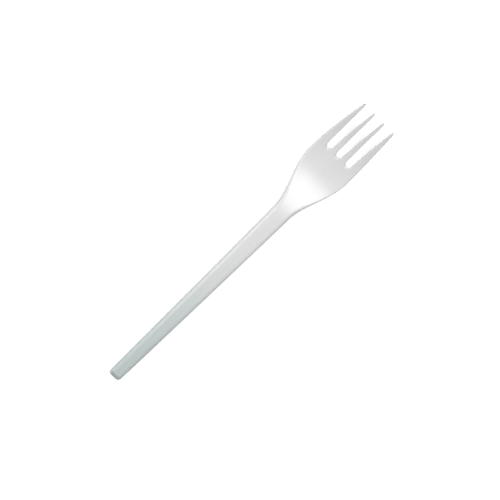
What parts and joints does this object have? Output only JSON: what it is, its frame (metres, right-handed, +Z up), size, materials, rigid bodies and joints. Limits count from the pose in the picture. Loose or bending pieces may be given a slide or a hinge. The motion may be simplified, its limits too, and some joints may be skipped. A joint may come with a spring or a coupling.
{
  "type": "disposable fork",
  "caption": "Slim disposable table fork moulded in one piece, with a channelled handle, a dished head and slender tines.",
  "frame": {"origin": "under the middle of the fork's length and width, on the surface that it lies on", "axes": "+X along the fork towards the tines, +Y across it, +Z up, away from the surface that it lies on"},
  "size_m": [0.165, 0.0234, 0.0089],
  "materials": {
    "moulded_plastic": "smooth, soft gloss"
  },
  "bodies": {
    "root": {"fork": "moulded_plastic"}
  },
  "joints": []
}
